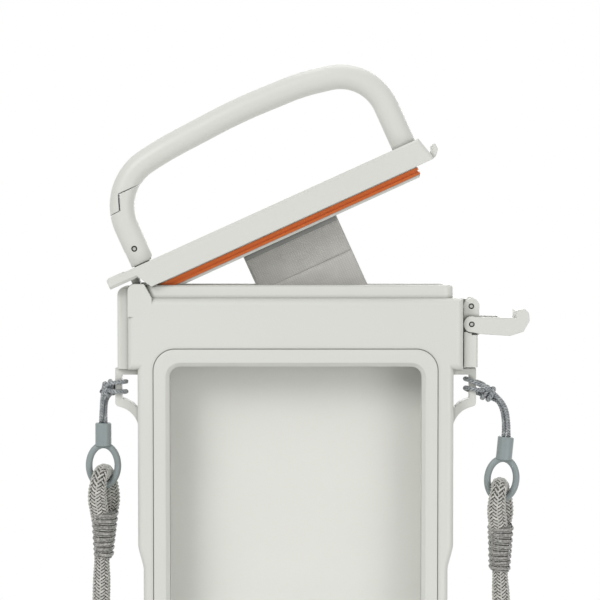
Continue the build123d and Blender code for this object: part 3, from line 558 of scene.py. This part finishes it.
def layCord(name, route, look, materials, node):
    obj, path, length = braidedCord(name, route, look, materials)
    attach(obj, "case")
    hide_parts(node)
    print(name, "length", round(length, 4))


# The hitch that holds each doubled cord beside its lug
hitch = {
    "radius": 0.0021, "turns": 2.3, "advance": 0.0019, "girth": 1.15, "skew": 0.0005, "tuck": 0.7,
    "points": 30,
    "left": {"centre": (-0.0603, -0.0004, 0.1749), "lean": 14},
    "right": {"centre": (0.0621, -0.0003, 0.1733), "lean": -26},
}


def makeHitch(name, place, v):
    t = np.linspace(-v["turns"] / 2, v["turns"] / 2, v["points"])
    along = t * v["advance"]
    across = v["radius"] * (1 - v["tuck"] * (np.abs(t) / t[-1]) ** 4)
    local = np.stack([along, across * np.cos(2 * math.pi * t), across * np.sin(2 * math.pi * t)], axis=1)
    local[:, 0] += v["skew"] * np.sin(2 * math.pi * t)
    lean = math.radians(place["lean"])
    c, s = math.cos(lean), math.sin(lean)
    turned = np.stack(
        [c * local[:, 0] - s * local[:, 2], local[:, 1], s * local[:, 0] + c * local[:, 2]], axis=1)
    look = dict(thinCord)
    for part in ("radius", "core", "yarnWidth", "yarnHeight"):
        look[part] *= v["girth"]
    route = (turned + np.array(place["centre"])).tolist()
    obj = braidedCord(name, route, look, cordYarns)[0]
    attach(obj, "case")
    return obj


# The first material is the painted shade between the cord's yarns
cordYarns = [cordGapShade, finishes["cord_fabric"], cordLight]
leftHitch = makeHitch("leftHitch", hitch["left"], hitch)
rightHitch = makeHitch("rightHitch", hitch["right"], hitch)
layCord("leftCord", leftCordRoute, thinCord, cordYarns, "left_cord")
layCord("rightCord", rightCordRoute, thinCord, cordYarns, "right_cord")

# Thread wound round the two strands of the rope's end, tapering downwards
binding = {
    "top": 0.1349, "length": 0.0146, "threads": 24, "threadRadius": 0.00028, "threadAround": 6,
    "halfDepth": (0.0066, 0.0049), "bands": 8, "bandDepth": 0.0005, "bunch": 0.5, "slant": 0.0002,
    "slantTurn": 9, "square": 3.0, "taper": 0.8, "fineness": 64,
    "coreInset": 0.0002, "coreRings": 24, "coreAround": 48,
    "left": {"topX": -0.0618, "bottomX": -0.0622, "drop": 0.0, "halfWidth": (0.0038, 0.0024)},
    "right": {"topX": 0.0664, "bottomX": 0.0661, "drop": 0.0044, "halfWidth": (0.0035, 0.0027)},
}


def squarer(angle, power):
    # How much farther out than a circle a squared round lies at the angle
    return (np.abs(np.cos(angle)) ** power + np.abs(np.sin(angle)) ** power) ** (-1 / power)


def makeBinding(name, node, place, v):
    topX, bottomX = place["topX"], place["bottomX"]
    top, halfWidth = v["top"] - place["drop"], place["halfWidth"]
    t = np.linspace(0, 1, v["threads"] * v["fineness"])
    angle = 2 * math.pi * v["threads"] * t
    band = np.abs(np.sin(math.pi * v["bands"] * t)) * v["bandDepth"]
    half = halfWidth[0] + (halfWidth[1] - halfWidth[0]) * t ** v["taper"] + band
    deep = v["halfDepth"][0] + (v["halfDepth"][1] - v["halfDepth"][0]) * t + band
    share = squarer(angle, v["square"])
    x = topX + (bottomX - topX) * t + half * share * np.cos(angle)
    y = deep * share * np.sin(angle)
    bunched = v["bunch"] * np.sin(2 * math.pi * v["bands"] * t) / (2 * math.pi * v["bands"])
    z = top - v["length"] * (t + bunched) + v["slant"] * np.cos(angle + v["slantTurn"] * t)
    line = np.stack([x, y, z], axis=1)
    around = v["threadAround"]
    wound = roundTube(line, np.full(len(line), v["threadRadius"]), around).reshape(-1, 3)
    thread = addObject(name, wound, tubeFaces(len(line), around), bindingYarn)
    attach(thread, "case")
    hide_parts(node)
    # A dark core inside the wound thread: painted shade that shows between its turns
    inside = []
    for b in np.linspace(0, 1, v["coreRings"]):
        w = halfWidth[0] + (halfWidth[1] - halfWidth[0]) * b ** v["taper"] - v["coreInset"]
        d = v["halfDepth"][0] + (v["halfDepth"][1] - v["halfDepth"][0]) * b - v["coreInset"]
        for a in np.linspace(0, 2 * math.pi, v["coreAround"], endpoint=False):
            k = squarer(a, v["square"])
            x = topX + (bottomX - topX) * b + w * k * math.cos(a)
            inside.append((x, d * k * math.sin(a), top - v["length"] * b))
    core = addObject(name + "Core", inside, tubeFaces(v["coreRings"], v["coreAround"]), ropeGapShade)
    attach(core, "case")
    return [thread, core]


leftBinding = makeBinding("leftBinding", "left_whipping", binding["left"], binding)
rightBinding = makeBinding("rightBinding", "right_whipping", binding["right"], binding)
# The first material is the painted shade between the rope's yarns
ropeYarns = [ropeGapShade, finishes["rope_fabric"], ropeLight]
layCord("leftRope", leftRopeRoute, lanyardRope, ropeYarns, "left_rope")
layCord("rightRope", rightRopeRoute, lanyardRope, ropeYarns, "right_rope")
print("cords laid")


# The rope's unseen length is put away behind the case, folded into a hank with a tie round it
hank = {
    "straight": 0.031, "turn": 0.0372, "middleY": 0.044, "middleZ": 0.0078, "pinchZ": 0.0075, "pinch": 0.86,
    "radius": 0.00245, "around": 14, "seed": 7, "diameter": 0.005,
    "start": [(-0.039, 0.044, 0.0041), (-0.0365, 0.0447, 0.0036)],
    "end": [(0.0365, 0.0433, 0.0036), (0.039, 0.044, 0.0041)],
    "rows": [(0.0465, 0.0026), (0.0515, 0.0026), (0.0515, 0.0076), (0.0465, 0.0076), (0.049, 0.0124),
             (0.044, 0.0124), (0.039, 0.0124), (0.0415, 0.0076), (0.0365, 0.0076), (0.0365, 0.0026),
             (0.0415, 0.0026)],
    "wander": 0.0002, "step": 0.0011,
}
tieBand = {
    "halfWidth": 0.0091, "halfHeight": 0.0068, "thickness": 0.0008, "topShare": 0.9,
    "rims": (-0.0035, 0.0035), "shoulders": (-0.003, 0.003), "square": 3.2, "around": 40,
}


def makeHank(v, tieLook):
    rng = np.random.default_rng(v["seed"])
    points = list(v["start"])
    for i, (y, z) in enumerate(v["rows"]):
        way = 1 if i % 2 == 0 else -1
        if i:
            points.append((-way * v["turn"], y, z))
        stray = rng.uniform(-v["wander"], v["wander"], 2)
        points.append((-way * v["straight"], y, z))
        points.append((
            0.0, v["middleY"] + (y - v["middleY"]) * v["pinch"] + stray[0],
            v["middleZ"] + (z - v["pinchZ"]) * v["pinch"] + stray[1]))
        points.append((way * v["straight"], y, z))
        if i < len(v["rows"]) - 1:
            points.append((way * v["turn"], y, z))
    points += v["end"]
    around = v["around"]
    line, at = evenly(routeLine(points), v["step"])
    verts = roundTube(line, np.full(len(line), v["radius"]), around).reshape(-1, 3)
    obj = addObject("ropeHank", verts, tubeFaces(len(line), around), hankShade)
    uv = obj.data.uv_layers.new(name="alongRope")
    where = np.zeros((len(obj.data.loops), 2))
    for face in obj.data.polygons:
        low = min(obj.data.loops[k].vertex_index % around for k in face.loop_indices)
        for k in face.loop_indices:
            vertex = obj.data.loops[k].vertex_index
            column = vertex % around
            if low == 0 and column == around - 1:
                column = -1
            where[k] = (column / around, at[vertex // around])
    uv.data.foreach_set("uv", where.ravel())
    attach(obj, "case")
    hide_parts("rope_hank")
    rims, shoulders, thick = tieLook["rims"], tieLook["shoulders"], tieLook["thickness"]
    band = []
    for x, grow in ((rims[0], 0.0), (shoulders[0], thick), (shoulders[1], thick), (rims[1], 0.0)):
        for a in np.linspace(0, 2 * math.pi, tieLook["around"], endpoint=False):
            k = squarer(a, tieLook["square"])
            wide = tieLook["halfWidth"] + grow
            high = tieLook["halfHeight"] + grow * tieLook["topShare"]
            band.append((x, v["middleY"] + wide * k * math.cos(a), v["middleZ"] + high * k * math.sin(a)))
    tie = addObject("hankTie", band, tubeFaces(4, tieLook["around"]), finishes["strap_fabric"])
    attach(tie, "case")
    print("hank length", round(float(at[-1]), 4))


makeHank(hank, tieBand)


# Strap between the plug and the mouth
strap = {
    "hinge": (-0.05166, 0.20656), "angle": 24.4, "left": 0.036, "width": 0.033,
    "top": -0.0046, "fold": -0.0169, "foot": 0.1917, "front": 0.004, "thickness": 0.00105,
    "layerGap": 0.00005, "across": 34, "down": 44, "selvedge": (0.00028, 0.0005), "tuck": (0.0004, 0.0006),
    "wave": 0.000048, "waves": (7, 4), "flatLength": 0.0737, "area": 0.00194,
    "bendStart": (0.0127, 0.0045, 0.194), "bendEnd": (-0.0019, 0.0045, 0.2235),
}


def makeStrap(v):
    t = math.radians(v["angle"])
    hx, hz = v["hinge"]

    def place(u, depth):
        return (hx + u * math.cos(t) - depth * math.sin(t), hz + u * math.sin(t) + depth * math.cos(t))

    verts, faces, coordinates = [], [], []
    layers = ((v["top"], v["front"]), (v["fold"], v["front"] - v["thickness"] - v["layerGap"]))
    for top, y in layers:
        start = len(verts)
        for side in (0, 1):
            for i in range(v["down"] + 1):
                b = i / v["down"]
                for j in range(v["across"] + 1):
                    a = j / v["across"]
                    u = v["left"] + v["width"] * a
                    end = (v["foot"] - hz - u * math.sin(t)) / math.cos(t)
                    depth = top + (end - top) * b
                    x, z = place(u, depth)
                    edge = min(a, 1 - a) * v["width"]
                    roll = v["selvedge"][0] * math.exp(-(edge / v["selvedge"][1]) ** 2)  # a thinner edge
                    tuck = v["tuck"][0] * math.exp(-((depth - top) / v["tuck"][1]) ** 2)
                    tuck = tuck if top == v["fold"] else 0.0
                    swell = math.sin(v["waves"][0] * a + v["waves"][1] * b) * math.sin(math.pi * b)
                    half = v["thickness"] / 2 - roll - tuck
                    middle = y + v["thickness"] / 2 + v["wave"] * swell
                    verts.append((x, middle + (half if side else -half), z))
                    coordinates.append((u, depth))
        row, sheetSize = v["across"] + 1, (v["across"] + 1) * (v["down"] + 1)
        for side in (0, 1):
            for i in range(v["down"]):
                for j in range(v["across"]):
                    a = start + side * sheetSize + i * row + j
                    quad = (a, a + 1, a + row + 1, a + row)
                    faces.append(quad if side else quad[::-1])
        rim = list(range(row)) + [i * row + row - 1 for i in range(1, v["down"] + 1)]
        rim += [v["down"] * row + j for j in range(row - 2, -1, -1)]
        rim += [i * row for i in range(v["down"] - 1, 0, -1)]
        for k, first in enumerate(rim):
            second = rim[(k + 1) % len(rim)]
            faces.append(
                (start + first, start + second, start + sheetSize + second, start + sheetSize + first))
    obj = addObject("pullStrap", verts, faces, finishes["strap_fabric"])
    uv = obj.data.uv_layers.new(name="weave")
    for loop, where in zip(obj.data.loops, uv.data):
        where.uv = coordinates[loop.vertex_index]
    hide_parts("pull_strap")
    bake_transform(obj)


makeStrap(strap)
print("strap made")


# Floor, backdrop and light
studio = {
    "floor": (0.86, 0.86, 0.855),
    "floorRoughness": 0.9,
    "floorGlow": 0.55,
    "floorReach": 0.42,
    "floorSides": 96,
    "paperScale": 60.0,
    "paperDepth": 0.0001,
    "paperGrain": 0.1,
    "aim": (0, 0, 0.19),
    "worldStrength": 0.52,
    "key": {"energy": 5.2, "size": 0.5, "place": (-0.6, -0.85, 0.8)},
    "fill": {"energy": 2.9, "size": 0.6, "place": (0.7, -0.95, 0.1)},
    "top": {"energy": 1.6, "size": 0.5, "place": (0.05, 0.25, 0.95)},
    "rear": {"energy": 4.2, "size": 0.8, "place": (0.3, 1.0, 0.45)},
}


def makeStudio(v):
    world = bpy.data.worlds.new("studioWorld")
    bpy.context.scene.world = world
    world.use_nodes = True
    tree = world.node_tree
    dim, white = tree.nodes["Background"], tree.nodes.new("ShaderNodeBackground")
    for back, strength in ((dim, v["worldStrength"]), (white, 1.0)):
        back.inputs["Color"].default_value = (1, 1, 1, 1)
        back.inputs["Strength"].default_value = strength
    rays = tree.nodes.new("ShaderNodeLightPath").outputs
    through = mathNode(tree, "MAXIMUM", rays["Is Glossy Ray"], rays["Is Transmission Ray"])
    seen = mathNode(tree, "MAXIMUM", rays["Is Camera Ray"], through)
    straight = mathNode(tree, "LESS_THAN", rays["Diffuse Depth"], 0.5)  # scattered light meets the dim world
    shown = mathNode(tree, "MULTIPLY", seen, straight)
    mixShaders(tree, shown, dim.outputs[0], white.outputs[0], "World Output")
    for name in ("key", "fill", "top", "rear"):
        lamp = bpy.data.lights.new(name + "Light", "AREA")
        lamp.energy, lamp.size = v[name]["energy"], v[name]["size"]
        obj = bpy.data.objects.new(name + "Light", lamp)
        bpy.context.scene.collection.objects.link(obj)
        obj.location = v[name]["place"]
        aim = Vector(v["aim"]) - obj.location
        obj.rotation_euler = aim.to_track_quat("-Z", "Y").to_euler()
    floorMaterial, tree, shader = newMaterial("floorPaper", v["floor"], v["floorRoughness"])
    paper = noiseNode(tree, v["paperScale"], 3.0)
    bumpFrom(tree, shader, paper.outputs["Fac"], v["paperDepth"], v["paperGrain"])
    glow = tree.nodes.new("ShaderNodeEmission")  # the paper looks white, and still takes the shadow
    glow.inputs["Color"].default_value = (1, 1, 1, 1)
    seen = tree.nodes.new("ShaderNodeLightPath").outputs["Is Camera Ray"]
    share = mathNode(tree, "MULTIPLY", seen, v["floorGlow"])
    mixShaders(tree, share, shader.outputs[0], glow.outputs[0], "Material Output")
    sides, reach = v["floorSides"], v["floorReach"]
    turns = np.linspace(0, 2 * math.pi, sides + 1)[:-1]
    rim = [(reach * math.cos(a), reach * math.sin(a), 0) for a in turns]
    floor = addObject("floorPaper", rim, [tuple(range(sides))], floorMaterial, smooth=False)


makeStudio(studio)
print("studio ready")
